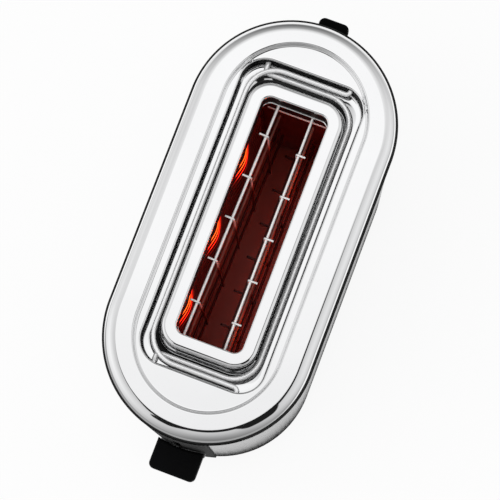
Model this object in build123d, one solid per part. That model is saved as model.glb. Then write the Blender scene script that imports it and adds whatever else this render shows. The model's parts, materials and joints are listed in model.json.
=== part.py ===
from build123d import *
import os
from math import cos, radians, sin, sqrt

# A toaster with one long slot and a stadium outline, in millimetres.
# The origin is on the table under the middle of the body, and +Z is up.
# The carriage lever is at the -Y end, the bun rack's lever at the +Y end.
# Everything lies as it does while toasting: the carriage is down, the guards
# are closed on the bread and the bun rack is folded into the well.

# Top of the toaster, from the slot outwards
slot_length = 140.0
slot_width = 38.4
slot_corner = 5.0
slot_round = 0.8
flange_width = 8.6
collar_corner = 13.5
collar_round = 2.4
collar_sheet = 1.0
collar_proud = 1.5
flange_depth = 14.5
well_side = 7.9
well_end = 11.4
well_corner = 14.5
well_depth = 11.5
deck_side = 5.5
deck_front = 18.0
deck_rear = 15.0
deck_drop = 2.5
ring_side = 18.1
ring_front = 17.0
ring_rear = 15.0
shoulder_radius = 8.0
edge_round = 1.2
lip_height = 4.0
cover_sheet = 1.0
cover_height = 188.0

# Clearances shared by many pieces, and how far a cut runs past a face
running_gap = 0.05
slide_gap = 0.3
over = 1.0

# Body shell, base, screws and feet
shell_sheet = 1.0
lip_gap = 0.3
foot_height = 4.0
foot_radius = 7.0
foot_taper = 1.0
foot_side = 38.0
foot_end = 78.0
base_band = 6.0
base_floor = 2.5
base_wall = 2.0
base_rim = 5.5
shell_seat_gap = 0.2
vent_count = 5
vent_pitch = 22.0
vent_inset = 15.0
vent_length = 10.0
vent_width = 4.0
screw_radius = 1.6
screw_length = 9.0
screw_head_radius = 3.2
screw_head_height = 1.6
screw_slot_half = 0.4
screw_slot_depth = 0.9
screw_slot_end = 0.8

# Frame plates, reflectors and heaters round the toasting chamber
plate_sheet = 1.0
plate_margin = 6.5
plate_foot = 10.0
plate_rib_z = 141.0
plate_rib_reach = 3.0
chamber_margin = 6.0
reflector_gap = 6.6
reflector_sheet = 0.6
reflector_low = 28.0
board_margin = 4.5
board_sheet = 0.8
board_low = 40.0
board_high = 166.0
notch_reach = 2.5
notch_rise = 3.0
notch_height = 4.0
ribbon_width = 1.8
ribbon_sheet = 0.3
ribbon_runs = 9
ribbon_pitch = 12.0
ribbon_low = 52.0
ribbon_end_gap = 4.5
bow_count = 3
bow_length = 38.0
bow_pitch = 45.0
bow_reach = 3.0

# Bread guards
guard_wire = 1.6
guard_upright = 1.2
guard_weld = 0.15
guard_drop = 18.0
guard_low = 60.0
guard_foot = 3.0
guard_rows = (100.0, 136.0)
guard_row_end = 4.0
guard_travel = 4.0
left_guard_x = -13.0
left_guard_skew = -1.5
left_hook_shift = 1.1
right_guard_x = 9.3
right_guard_skew = 0.0
right_hook_shift = -2.9
hook_count = 5
hook_pitch = 25.2
hook_reach = 4.0
hook_bend = 1.2
wire_overrun = 3.0
wire_slot_gap = 0.4

# Bread carriage
carriage_travel = 62.0
rack_top = 50.0
rack_depth = 6.0
rack_sheet = 1.2
rack_end_gap = 4.0
rack_slot_gap = 0.6
finger_count = 7
finger_half = 6.2
finger_depth = 3.5
finger_round = 1.0
finger_first = 8.0
finger_last = 6.0
lever_height = 78.0
bracket_stand_off = 6.0
bracket_sheet = 1.5
bracket_half = 16.0
bracket_round = 3.0
bracket_low = 44.0
bracket_above_lever = 8.0
arm_sheet = 2.0
arm_depth = 6.0
guide_x = 10.0
guide_radius = 3.0
guide_low = 36.0
guide_tail = 2.0
guide_head = 0.6
guide_edge = 0.4
bush_wall = 2.5
bush_low = 58.0
bush_height = 24.0
bush_weld = 0.5
tab_drop = 2.0
tab_margin = 1.0
spring_wire = 0.9
spring_turns = 14
spring_gap = 0.8

# Control panel and lever knob
panel_width = 37.0
panel_sheet = 1.2
panel_round = 0.7
panel_gap = 0.1
panel_low = 14.0
panel_top_gap = 0.5
track_gap = 1.3
lever_width = 29.0
lever_thick = 9.0
lever_reach = 19.0
bun_lever_reach = 15.4
handle_corner = 3.5
handle_round = 1.5
handle_gap = 0.8
socket_depth = 8.0
socket_gap = 0.1

# Circuit board, electromagnet, browning knob and buttons
board_inset = 14.2
circuit_sheet = 1.6
circuit_half = 26.0
circuit_below_lever = 8.0
post_inset = 6.0
post_half = 2.0
post_depth = 3.0
post_height = 8.0
magnet_x = -9.0
magnet_half = 5.0
magnet_depth = 13.0
magnet_low = 28.0
magnet_yoke = 3.0
magnet_back = 4.0
coil_radius = 3.2
armature_sheet = 1.5
knob_height = 40.0
knob_radius = 11.5
knob_skirt = 6.0
knob_bar = 3.0
knob_bar_half = 2.2
knob_bar_round = 1.2
knob_bar_end = 1.0
knob_gap = 0.6
knob_edge = 1.0
mark_half = 0.4
mark_length = 4.0
shaft_radius = 3.0
shaft_hole_gap = 1.0
shaft_seat = 2.0
pot_radius = 8.0
pot_depth = 7.0
pot_nose = 2.5
pot_nose_wall = 1.6
button_height = 61.0
button_radius = 3.8
button_round = 0.8
button_pitch = 10.5
button_proud = 2.2
button_travel = 1.5
button_collar = 1.4
button_collar_thick = 1.2
stem_radius = 1.6
switch_half = 3.0
switch_depth = 3.5

# Bun rack: two wire bails, their cranks and the slide that lifts them
bail_wire = 2.8
bail_pivot_x = 24.4
bail_rail_x = 30.4
left_bail_below_deck = 4.1
bail_pass_gap = 0.4
left_bail_end_gap = 3.0
right_bail_inset = 3.4
bail_corner = 7.0
pin_corner = 2.5
pin_overrun = 0.5
bail_angle = 36.0
crank_length = 18.0
crank_low_angle = 50.0
crank_thick = 3.0
crank_boss = 2.7
crank_eye = 2.4
crank_web_half = 1.8
crank_pin_radius = 1.5
crank_stand_off = 2.0
cap_radius = 2.6
cap_thick = 1.6
yoke_gap = 1.0
yoke_sheet = 2.5
yoke_half = 17.5
yoke_edge = 2.2
yoke_round = 2.0
bun_arm_half = 1.5
bun_arm_depth = 6.0
bun_lever_drop = 49.0
bun_lever_width = 18.0
bun_lever_thick = 8.0
guide_sheet = 1.2
guide_lip = 2.6
guide_reach_down = 13.0
guide_reach_up = 16.0

# Crumb tray, cord gland and terminal block
tray_half = 30.0
tray_sheet = 0.8
tray_wall = 5.4
tray_front_gap = 4.0
tray_window_gap = 1.5
grip_height = 8.0
grip_proud = 2.5
grip_inset = 13.0
finger_pocket_half = 18.0
finger_pocket_width = 7.0
finger_pocket_round = 2.0
finger_pocket_back = 3.0
finger_pocket_roof = 2.5
runner_half = 1.0
runner_inset = 3.0
gland_height = 44.0
gland_radius = 6.0
gland_bore = 3.4
gland_tail = 8.0
gland_round = 0.8
gland_flange = 3.0
gland_flange_thick = 2.4
sleeve_tip_radius = 4.7
sleeve_grooves = 3
sleeve_groove = 1.6
sleeve_pitch = 3.8
sleeve_core = 4.3
nut_thick = 4.0
terminal_rise = 28.0
terminal_height = 12.0
terminal_depth = 11.0
terminal_half = 15.0
terminal_ways = 3
terminal_pitch = 9.0
clamp_radius = 2.2
clamp_inset = 4.0
clamp_depth = 5.0
entry_radius = 1.8
entry_end = 3.0

# Places that follow from the sizes above
collar_width = slot_width + 2 * flange_width
collar_length = slot_length + 2 * flange_width
well_width = collar_width + 2 * well_side
well_length = collar_length + 2 * well_end
recess_width = well_width + 2 * deck_side
recess_length = well_length + deck_front + deck_rear
rim_width = recess_width + 2 * ring_side
rim_length = recess_length + ring_front + ring_rear
recess_y = (ring_front - ring_rear) / 2
slot_y = recess_y + (deck_front - deck_rear) / 2
body_width = rim_width - 2 * (cover_sheet + lip_gap)
body_length = rim_length - 2 * (cover_sheet + lip_gap)
end_y = body_length / 2
inner_end_y = end_y - shell_sheet

deck_z = cover_height - deck_drop
well_floor_z = deck_z - well_depth
collar_top = deck_z + collar_proud
flange_bottom = collar_top - flange_depth
shoulder_z = cover_height - shoulder_radius
lip_bottom = shoulder_z - lip_height
floor_z = foot_height + base_floor
shell_bottom = foot_height + base_band
rim_top = shell_bottom + base_rim
tray_z = rim_top + 2 * slide_gap

plate_top = well_floor_z - cover_sheet
chamber_front = slot_y - slot_length / 2 - chamber_margin
chamber_rear = slot_y + slot_length / 2 + chamber_margin
board_x = slot_width / 2 + board_margin
reflector_x = board_x + board_sheet + reflector_gap
plate_half = reflector_x + reflector_sheet + plate_margin
guard_top = collar_top - guard_drop

bracket_y = chamber_front - plate_sheet - bracket_stand_off
bracket_high = lever_height + bracket_above_lever
guide_y = bracket_y - bracket_sheet - guide_radius - bush_wall - running_gap + bush_weld
tab_z = plate_top - tab_drop
bush_top = bush_low + bush_height
rod_end_y = guide_y - guide_radius - bush_wall - tab_margin
front_y = -end_y - panel_gap - panel_sheet
knob_y = front_y - knob_gap
circuit_y = -inner_end_y + board_inset
circuit_face = circuit_y - circuit_sheet
circuit_top = lever_height - circuit_below_lever
switch_face = circuit_face - switch_depth

bun_lever_height = cover_height - bun_lever_drop
left_bail_z = deck_z - left_bail_below_deck
right_bail_z = left_bail_z - bail_wire - bail_pass_gap
left_arm_span = well_length / 2 - left_bail_end_gap
right_arm_span = left_arm_span - right_bail_inset
well_wall_y = well_length / 2 + cover_sheet
crank_y = slot_y + well_wall_y + crank_stand_off
yoke_y = crank_y + crank_thick + yoke_gap
crank_high_angle = crank_low_angle - bail_angle
crank_lift = crank_length * (sin(radians(crank_low_angle)) - sin(radians(crank_high_angle)))
crank_mid_sine = (sin(radians(crank_low_angle)) + sin(radians(crank_high_angle))) / 2
yoke_bow = crank_length * (sin(radians(crank_low_angle - bail_angle / 2)) - crank_mid_sine)
left_pin_z = left_bail_z - crank_length * sin(radians(crank_low_angle))
right_pin_z = left_pin_z - left_bail_z + right_bail_z


def block(x, y, z):
    # A box from its low and high value along each axis.
    size = [high - low for low, high in (x, y, z)]
    middle = [(high + low) / 2 for low, high in (x, y, z)]
    return Pos(*middle) * Box(*size)


def around(middle, half):
    # A low and a high value, half on each side of a middle.
    return (middle - half, middle + half)


def bar_y(x, z, radius, y):
    # A round bar along Y.
    return Pos(x, sum(y) / 2, z) * Rot(90, 0, 0) * Cylinder(radius, y[1] - y[0])


def bar_z(x, y, radius, z):
    # An upright round bar.
    return Pos(x, y, sum(z) / 2) * Cylinder(radius, z[1] - z[0])


def stadium(length, width, z, y=0):
    # An upright prism with straight sides along Y and half-round ends.
    return extrude(Pos(0, y, z[0]) * SlotOverall(length, width, rotation=90), z[1] - z[0])


def pillow(length, width, corner, z):
    # An upright prism with rounded corners, centred on the slot.
    return extrude(Pos(0, slot_y, z[0]) * RectangleRounded(width, length, corner), z[1] - z[0])


def level_edges(shape, z, half_width):
    # The edges at height z that reach no further out than half_width.
    found = []
    for edge in shape.edges().filter_by_position(Axis.Z, z - 0.01, z + 0.01):
        box = edge.bounding_box()
        if max(-box.min.X, box.max.X) < half_width + 0.01:
            found.append(edge)
    return found


def flat_edges(shape):
    # The edges of the lowest and of the highest level face.
    levels = shape.faces().group_by(Axis.Z)
    return levels[-1].edges() + levels[0].edges()


def wire(points, radii, radius):
    # A bent round wire along straight runs joined by arcs.
    path = FilletPolyline(*points, radius=radii)
    section = Plane(origin=path @ 0, z_dir=path % 0) * Circle(radius)
    return sweep(section, path=path)


def end_bulge(width, x):
    # How far a half-round end of that width reaches along Y, at a distance x from its middle.
    return sqrt((width / 2) ** 2 - x ** 2) + (body_length - body_width) / 2


def cover_form(inset):
    # The cover as a solid form; an inset gives the space under its sheet.
    low = lip_bottom - 4 * inset
    form = stadium(rim_length - 2 * inset, rim_width - 2 * inset, (low, cover_height - inset))
    form = fillet(level_edges(form, cover_height - inset, rim_width / 2), shoulder_radius - inset)
    recess = (recess_length + 2 * inset, recess_width + 2 * inset)
    return form - stadium(*recess, (deck_z - inset, cover_height + over), recess_y)


def well_form(inset, high):
    # The space of the well; an inset adds the sheet round it and under it.
    size = (well_length + 2 * inset, well_width + 2 * inset, well_corner + inset)
    return pillow(*size, (well_floor_z - inset, high))


def make_top_cover():
    form = cover_form(0) + well_form(cover_sheet, deck_z - cover_sheet)
    form -= well_form(0, cover_height + over)
    form = fillet(level_edges(form, cover_height, recess_width / 2), edge_round)
    form = fillet(level_edges(form, deck_z, well_width / 2), edge_round)
    form -= cover_form(cover_sheet) - well_form(cover_sheet, cover_height + over)
    opening = collar_sheet + slide_gap
    form -= pillow(
        slot_length + 2 * opening, slot_width + 2 * opening, slot_corner + opening,
        (plate_top - over, well_floor_z + over),
    )
    pin_hole = bail_wire / 2 + running_gap
    reach = around(slot_y, well_wall_y + over)
    form -= bar_y(bail_pivot_x, left_bail_z, pin_hole, reach)
    form -= bar_y(-bail_pivot_x, right_bail_z, pin_hole, reach)
    return form


def make_slot_collar():
    # A pressed frame: outer wall on the well floor, flat top, flange turned down into the slot.
    collar = pillow(collar_length, collar_width, collar_corner, (well_floor_z, collar_top))
    collar = fillet(level_edges(collar, collar_top, collar_width / 2), collar_round)
    collar -= pillow(
        collar_length - 2 * collar_sheet, collar_width - 2 * collar_sheet,
        collar_corner - collar_sheet, (well_floor_z, collar_top - collar_sheet),
    )
    collar += pillow(
        slot_length + 2 * collar_sheet, slot_width + 2 * collar_sheet,
        slot_corner + collar_sheet, (flange_bottom, collar_top),
    )
    collar -= pillow(slot_length, slot_width, slot_corner, (flange_bottom - over, collar_top + over))
    return fillet(level_edges(collar, collar_top, slot_width / 2), slot_round)


def make_body_shell():
    z = (shell_bottom, shoulder_z)
    shell = stadium(body_length, body_width, z)
    shell -= stadium(body_length - 2 * shell_sheet, body_width - 2 * shell_sheet, z)
    shell = cut_controls(shell, (-end_y - over, -end_y / 2))
    rear = (end_y / 2, end_y + over)
    shell -= block(around(0, bun_arm_half + track_gap), rear, bun_lever_track())
    window = around(0, tray_half + tray_window_gap)
    shell -= block(window, rear, (rim_top, tray_z + grip_height + over))
    shell -= bar_y(0, gland_height, gland_radius + panel_gap, rear)
    return shell


def lever_track():
    # Height range that the lever's arm needs, from low to high.
    low = lever_height - arm_depth / 2 - track_gap
    return (low, low + carriage_travel + arm_depth + 2 * track_gap)


def bun_lever_track():
    low = bun_lever_height - bun_arm_depth / 2 - track_gap
    return (low, low + crank_lift + bun_arm_depth + 2 * track_gap)


def button_places():
    return (-button_pitch, 0, button_pitch)


def cut_controls(shape, y):
    # The lever's track and the holes for the knob's shaft and the buttons.
    shape -= block(around(0, arm_sheet / 2 + track_gap), y, lever_track())
    shape -= bar_y(0, knob_height, shaft_radius + shaft_hole_gap, y)
    for x in button_places():
        shape -= bar_y(x, button_height, button_radius + slide_gap, y)
    return shape


def make_control_panel():
    grow = panel_gap + panel_sheet
    z = (panel_low, lip_bottom - panel_top_gap)
    front = (front_y - over, -end_y / 2)
    panel = stadium(body_length + 2 * grow, body_width + 2 * grow, z)
    panel &= block(around(0, panel_width / 2), front, z)
    outside = panel.faces().sort_by(Axis.Y)[0]
    panel = fillet(outside.edges(), panel_round)
    panel -= stadium(body_length + 2 * panel_gap, body_width + 2 * panel_gap, z)
    return cut_controls(panel, front)


def make_base_plate():
    # A moulded tray: band under the shell, rim inside it, runners for the crumb tray.
    inner = shell_sheet + shell_seat_gap
    base = stadium(body_length, body_width, (foot_height, shell_bottom))
    base = fillet(level_edges(base, foot_height, body_width / 2), edge_round)
    base += stadium(body_length - 2 * inner, body_width - 2 * inner, (shell_bottom, rim_top))
    pocket = inner + base_wall
    base -= stadium(body_length - 2 * pocket, body_width - 2 * pocket, (floor_z, rim_top))
    runner_x = tray_half - runner_inset
    runner_y = (chamber_front, slot_y + well_wall_y)
    post_y = (circuit_y, circuit_y + post_depth)
    through = (foot_height, floor_z)
    for side in (-1, 1):
        base += block(around(side * runner_x, runner_half), runner_y, (floor_z, tray_z - slide_gap))
        post_x = side * (circuit_half - post_inset)
        base += block(around(post_x, post_half), post_y, (floor_z, floor_z + post_height))
        vent_x = around(side * vent_inset, vent_length / 2)
        for number in range(vent_count):
            y = slot_y + (number - (vent_count - 1) / 2) * vent_pitch
            base -= block(vent_x, around(y, vent_width / 2), through)
    for x, y in screw_places():
        base -= bar_z(x, y, screw_radius + running_gap, through)
        base -= bar_z(x, y, screw_head_radius + running_gap, (foot_height, foot_height + screw_head_height))
    return base


def screw_places():
    x = plate_half - plate_margin / 2
    front = chamber_front - plate_sheet - plate_foot / 2
    rear = chamber_rear + plate_sheet + plate_foot / 2
    return [(side * x, y) for side in (-1, 1) for y in (front, rear)]


def make_base_screws():
    screws = []
    for x, y in screw_places():
        screw = bar_z(x, y, screw_radius, (foot_height, foot_height + screw_length))
        screw += bar_z(x, y, screw_head_radius, (foot_height, foot_height + screw_head_height))
        slot_x = around(x, screw_head_radius - screw_slot_end)
        slot_z = (foot_height, foot_height + screw_slot_depth)
        screws.append(screw - block(slot_x, around(y, screw_slot_half), slot_z))
    return Compound(screws)


def make_feet():
    feet = []
    for side in (-1, 1):
        for end in (-1, 1):
            foot = Cone(foot_radius - foot_taper, foot_radius, foot_height)
            feet.append(Pos(side * foot_side, end * foot_end, foot_height / 2) * foot)
    return Compound(feet)


def guard_slots(plate_y):
    # Slots in a frame plate that carry the guards' long wires and give them their travel.
    slots = []
    room = guard_wire / 2 + wire_slot_gap
    for side in (-1, 1):
        x = guard_line(side, plate_y)
        reach = sorted((x, x + side * guard_travel))
        for z in (guard_low, guard_top):
            y = around(plate_y, 2 * plate_sheet)
            slots.append(block((reach[0] - room, reach[1] + room), y, around(z, room)))
    return slots


def guard_line(side, y):
    # Where a guard's plane crosses a given y.
    x = left_guard_x if side < 0 else right_guard_x
    skew = left_guard_skew if side < 0 else right_guard_skew
    return x - sin(radians(skew)) * (y - slot_y)


def make_frame_plate(end):
    # An upright plate with a foot turned outwards and a rib pressed towards the chamber.
    face = chamber_front if end < 0 else chamber_rear
    y = sorted((face, face + end * plate_sheet))
    foot = sorted((face + end * plate_sheet, face + end * (plate_sheet + plate_foot)))
    rib = sorted((face, face - end * plate_rib_reach))
    across = around(0, plate_half)
    plate = block(across, y, (floor_z, plate_top))
    plate += block(across, foot, (floor_z, floor_z + plate_sheet))
    plate += block(around(0, slot_width / 2), rib, around(plate_rib_z, plate_sheet / 2))
    for cut in guard_slots(face):
        plate -= cut
    for x, place in screw_places():
        if place * end > 0:
            plate -= bar_z(x, place, screw_radius + running_gap, around(floor_z, plate_sheet + over))
    return plate


def make_front_frame_plate():
    # The plate at the lever's end also holds the guide rod and lets the bread rack through.
    plate = make_frame_plate(-1)
    outer = chamber_front - plate_sheet
    tab = around(guide_x, bush_wall + guide_radius)
    for low in (guide_low, tab_z):
        plate += block(tab, (rod_end_y, outer), (low, low + plate_sheet))
    plate -= bar_z(guide_x, guide_y, guide_radius + running_gap, (guide_low - over, plate_top))
    slot = around(0, rack_sheet / 2 + rack_slot_gap)
    z = (rack_top - rack_depth - track_gap, rack_top + carriage_travel + track_gap)
    return plate - block(slot, (outer - over, chamber_front + over), z)


def make_rear_frame_plate():
    # The plate at the far end is cut away where the crumb tray passes.
    window = around(0, tray_half + tray_window_gap)
    y = (chamber_rear - over, chamber_rear + plate_sheet + plate_foot + over)
    return make_frame_plate(1) - block(window, y, (floor_z - over, tray_z + grip_height + over))


def make_reflector(side):
    # A bright sheet behind the heater board, with lips turned outwards at top and bottom.
    x = sorted((side * reflector_x, side * (reflector_x + reflector_sheet)))
    lip = sorted((side * reflector_x, side * (reflector_x + plate_margin)))
    y = (chamber_front, chamber_rear)
    sheet = block(x, y, (reflector_low, plate_top))
    for low in (reflector_low, plate_top - reflector_sheet):
        sheet += block(lip, y, (low, low + reflector_sheet))
    return sheet


def make_heater_board(side):
    # A mica board, notched at both ends where the ribbon turns.
    x = sorted((side * board_x, side * (board_x + board_sheet)))
    across = (x[0] - over, x[1] + over)
    board = block(x, (chamber_front, chamber_rear), (board_low, board_high))
    for run in range(ribbon_runs):
        low = ribbon_low + run * ribbon_pitch + notch_rise
        for y in (chamber_front, chamber_rear):
            board -= block(across, around(y, notch_reach), (low, low + notch_height))
    return board


def make_heater_ribbon(side):
    # Flat resistance wire up the board in long runs, each turned at the end of the last.
    # Every run bows off the board in the bays between its supports.
    x = sorted((side * board_x, side * (board_x - ribbon_sheet)))
    half = ribbon_width / 2
    front = chamber_front + ribbon_end_gap
    rear = chamber_rear - ribbon_end_gap
    outline = [Line((x[0], y), (x[1], y)) for y in (front, rear)]
    for edge_x in x:
        outline += ribbon_edge(side, edge_x, front, rear)
    run_form = extrude(make_face(outline), ribbon_width)
    ribbon = Pos(0, 0, ribbon_low - half) * run_form
    for run in range(1, ribbon_runs):
        z = ribbon_low + run * ribbon_pitch
        turn = (rear - ribbon_width, rear) if run % 2 else (front, front + ribbon_width)
        ribbon += block(x, turn, (z - ribbon_pitch - half, z + half))
        ribbon += Pos(0, 0, z - half) * run_form
    return ribbon


def ribbon_edge(side, x, front, rear):
    # One edge of a run seen from above: straight, then bow after bow, and straight to the far end.
    along = (0, 1)
    start = front + ribbon_width
    edges = [Line((x, front), (x, start))]
    for number in range(bow_count):
        end = start + bow_length
        crest = (x - side * bow_reach, (start + end) / 2)
        following = start + bow_pitch if number < bow_count - 1 else rear
        edges.append(Spline((x, start), crest, (x, end), tangents=(along, along)))
        edges.append(Line((x, end), (x, following)))
        start = following
    return edges


def make_guard(side):
    # Long wires in one plane, uprights on the bread's side, each hooked outwards over the top wire.
    x = left_guard_x if side < 0 else right_guard_x
    skew = left_guard_skew if side < 0 else right_guard_skew
    shift = left_hook_shift if side < 0 else right_hook_shift
    half = (chamber_rear - chamber_front) / 2
    long_reach = around(0, half + plate_sheet + wire_overrun)
    row_reach = around(0, half - guard_row_end)
    upright_x = -side * (guard_wire / 2 + guard_upright / 2 - guard_weld)
    hook_z = guard_top + guard_wire / 2 + guard_upright / 2 - guard_weld
    guard = bar_y(0, guard_low, guard_wire / 2, long_reach)
    guard += bar_y(0, guard_top, guard_wire / 2, long_reach)
    for z in guard_rows:
        guard += bar_y(0, z, guard_wire / 2, row_reach)
    for number in range(hook_count):
        y = shift + (number - (hook_count - 1) / 2) * hook_pitch
        points = [
            (upright_x, y, guard_low - guard_foot),
            (upright_x, y, hook_z),
            (side * hook_reach, y, hook_z),
        ]
        guard += wire(points, hook_bend, guard_upright / 2)
    return Pos(x, slot_y, 0) * Rot(0, 0, skew) * guard


def make_bread_rack():
    # A spine under the bread with cross fingers, its front end out through the frame plate.
    half = rack_sheet / 2
    spine_y = (bracket_y, chamber_rear - rack_end_gap)
    rack = block((-half, half), spine_y, (rack_top - rack_depth, rack_top - finger_round))
    rack += block(around(0, bracket_half / 2), (bracket_y, bracket_y + rack_sheet), (bracket_low, rack_top))
    first = chamber_front + finger_first
    step = (spine_y[1] - finger_last - first) / (finger_count - 1)
    for number in range(finger_count):
        y = around(first + number * step, half)
        finger = block(around(0, finger_half), y, (rack_top - finger_depth, rack_top))
        rack += fillet(finger.edges().filter_by(Axis.Y).group_by(Axis.Z)[-1], finger_round)
    return rack


def make_carriage_bracket():
    # A plate behind the panel with the guide bush and the arm that carries the lever knob.
    bracket = block(
        around(0, bracket_half), (bracket_y - bracket_sheet, bracket_y), (bracket_low, bracket_high))
    bracket = fillet(bracket.edges().filter_by(Axis.Y), bracket_round)
    bracket += bar_z(guide_x, guide_y, guide_radius + bush_wall, (bush_low, bush_top))
    arm_end = front_y - handle_gap - socket_depth
    bracket += block(
        around(0, arm_sheet / 2), (arm_end, bracket_y), around(lever_height, arm_depth / 2))
    bore = (bush_low - over, bush_top + over)
    return bracket - bar_z(guide_x, guide_y, guide_radius + running_gap, bore)


def make_armature():
    # The steel strip that the electromagnet holds down.
    y = (bracket_y - bracket_sheet - magnet_depth, bracket_y - bracket_sheet)
    return block(around(magnet_x, magnet_half), y, (bracket_low, bracket_low + armature_sheet))


def make_electromagnet():
    # A laminated core with its coil, on the circuit board under the armature.
    top = bracket_low - slide_gap
    y = (circuit_y, circuit_y + magnet_depth)
    legs = (y[0] + magnet_back, y[1])
    magnet = block(around(magnet_x, magnet_half), y, (magnet_low, magnet_low + magnet_yoke))
    for side in (-1, 1):
        middle = magnet_x + side * (magnet_half - magnet_yoke / 2)
        magnet += block(around(middle, magnet_yoke / 2), legs, (magnet_low, top))
    return magnet + bar_z(magnet_x, sum(legs) / 2, coil_radius, (magnet_low, top - magnet_yoke))


def make_guide_rod():
    z = (guide_low - guide_tail, tab_z + plate_sheet + guide_head)
    return chamfer(bar_z(guide_x, guide_y, guide_radius, z).edges(), guide_edge)


def make_carriage_spring():
    # A coil round the guide rod, from the bush up to the tab of the frame plate.
    low = bush_top + slide_gap + spring_wire / 2
    high = tab_z - slide_gap - spring_wire / 2
    radius = guide_radius + spring_gap + spring_wire / 2
    path = Helix(pitch=(high - low) / spring_turns, height=high - low, radius=radius)
    section = Plane(origin=path @ 0, z_dir=path % 0) * Circle(spring_wire / 2)
    return Pos(guide_x, guide_y, low) * sweep(section, path=path, is_frenet=True)


def make_handle(half_width, y, z, gap):
    # A rounded block at one end whose back follows the housing's curve at an even gap.
    handle = block(around(0, half_width), y, z)
    tip = 0 if y[0] < 0 else -1
    handle = fillet(handle.edges().filter_by(Axis.Z).group_by(Axis.Y)[tip], handle_corner)
    handle -= stadium(body_length + 2 * gap, body_width + 2 * gap, z)
    return fillet(flat_edges(handle), handle_round)


def make_lever_knob():
    z = around(lever_height, lever_thick / 2)
    gap = panel_gap + panel_sheet + handle_gap
    knob = make_handle(lever_width / 2, (-end_y - lever_reach, -end_y / 2), z, gap)
    socket_x = around(0, arm_sheet / 2 + socket_gap)
    socket_z = around(lever_height, arm_depth / 2 + socket_gap)
    socket_end = -end_y - gap - socket_depth - socket_gap
    return knob - block(socket_x, (socket_end, -end_y), socket_z)


def make_circuit_board():
    return block(around(0, circuit_half), (circuit_face, circuit_y), (floor_z, circuit_top))


def make_button_switches():
    # One small push switch on the circuit board behind each button.
    switches = []
    for x in button_places():
        z = around(button_height, switch_half)
        switches.append(block(around(x, switch_half), (switch_face, circuit_face), z))
    return Compound(switches)


def make_button(x):
    # A round cap through the panel, a collar behind the shell and a stem to its switch.
    face = -end_bulge(body_width + 2 * (panel_gap + panel_sheet), x) - button_proud
    corner = abs(x) + button_radius + button_collar
    collar_y = -end_bulge(body_width - 2 * shell_sheet, corner) + slide_gap
    collar_end = collar_y + button_collar_thick
    button = bar_y(x, button_height, button_radius, (face, collar_end))
    button = fillet(button.faces().sort_by(Axis.Y)[0].edges(), button_round)
    button += bar_y(x, button_height, button_radius + button_collar, (collar_y, collar_end))
    stem_end = switch_face - button_travel - slide_gap
    return button + bar_y(x, button_height, stem_radius, (collar_y, stem_end))


def make_browning_control():
    # The potentiometer on the circuit board, bored for the knob's shaft.
    body_y = circuit_face - pot_depth
    control = bar_y(0, knob_height, pot_radius, (body_y, circuit_face))
    control += bar_y(0, knob_height, shaft_radius + pot_nose_wall, (body_y - pot_nose, body_y))
    bore = (body_y - pot_nose - over, circuit_face - shaft_seat + running_gap)
    return control - bar_y(0, knob_height, shaft_radius + running_gap, bore)


def make_knob_shaft():
    return bar_y(0, knob_height, shaft_radius, (knob_y - knob_skirt, circuit_face - shaft_seat))


def make_browning_knob():
    # A round skirt with a grip bar across its face and a marked end.
    face = knob_y - knob_skirt
    tip = face - knob_bar
    knob = bar_y(0, knob_height, knob_radius, (face, knob_y))
    knob = fillet(knob.faces().sort_by(Axis.Y)[0].edges(), knob_edge)
    bar_z_range = around(knob_height, knob_radius - knob_bar_end)
    bar = block(around(0, knob_bar_half), (tip, knob_y - over), bar_z_range)
    knob += fillet(bar.edges().filter_by(Axis.Z).group_by(Axis.Y)[0], knob_bar_round)
    mark_top = bar_z_range[1] - knob_bar_end
    mark_y = (tip - over, tip + mark_half)
    knob -= block(around(0, mark_half), mark_y, (mark_top - mark_length, mark_top))
    return knob - bar_y(0, knob_height, shaft_radius + running_gap, (face, knob_y + over))


def make_bail(side):
    # One wire: pin at the lever end, arm, rail, arm, and the pin that carries the crank.
    # side is -1 for the bail whose rail lies left; its pins turn in the well's end walls.
    span = left_arm_span if side < 0 else right_arm_span
    z = left_bail_z if side < 0 else right_bail_z
    rail = side * bail_rail_x
    pivot = -side * bail_pivot_x
    front_pin = slot_y - well_wall_y - slide_gap - cap_thick - pin_overrun
    points = [
        (pivot, front_pin, z),
        (pivot, slot_y - span, z),
        (rail, slot_y - span, z),
        (rail, slot_y + span, z),
        (pivot, slot_y + span, z),
        (pivot, crank_y + crank_thick, z),
    ]
    return wire(points, (pin_corner, bail_corner, bail_corner, pin_corner), bail_wire / 2)


def make_bail_cap(side):
    # A push-on cap that keeps the bail's front pin in its wall.
    z = left_bail_z if side < 0 else right_bail_z
    pivot = -side * bail_pivot_x
    high = slot_y - well_wall_y - slide_gap
    cap = bar_y(pivot, z, cap_radius, (high - cap_thick, high))
    return cap - bar_y(pivot, z, bail_wire / 2 + running_gap, (high - cap_thick - over, high + over))


def make_bail_crank(side):
    # A crank on the bail's rear pin, slanting inwards and down to the pin in the yoke.
    z = left_bail_z if side < 0 else right_bail_z
    pin_z = left_pin_z if side < 0 else right_pin_z
    pivot = -side * bail_pivot_x
    pin_x = pivot + side * crank_length * cos(radians(crank_low_angle))
    y = (crank_y, crank_y + crank_thick)
    crank = bar_y(pivot, z, crank_boss, y)
    crank += bar_y(pin_x, pin_z, crank_eye, y)
    middle = ((pivot + pin_x) / 2, sum(y) / 2, (z + pin_z) / 2)
    turn = side * crank_low_angle
    crank += Pos(*middle) * Rot(0, turn, 0) * Box(crank_length, crank_thick, 2 * crank_web_half)
    crank += bar_y(pin_x, pin_z, crank_pin_radius, (y[0], yoke_y + yoke_sheet + over))
    return crank - bar_y(pivot, z, bail_wire / 2 + running_gap, (y[0] - over, y[1] + over))


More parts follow.
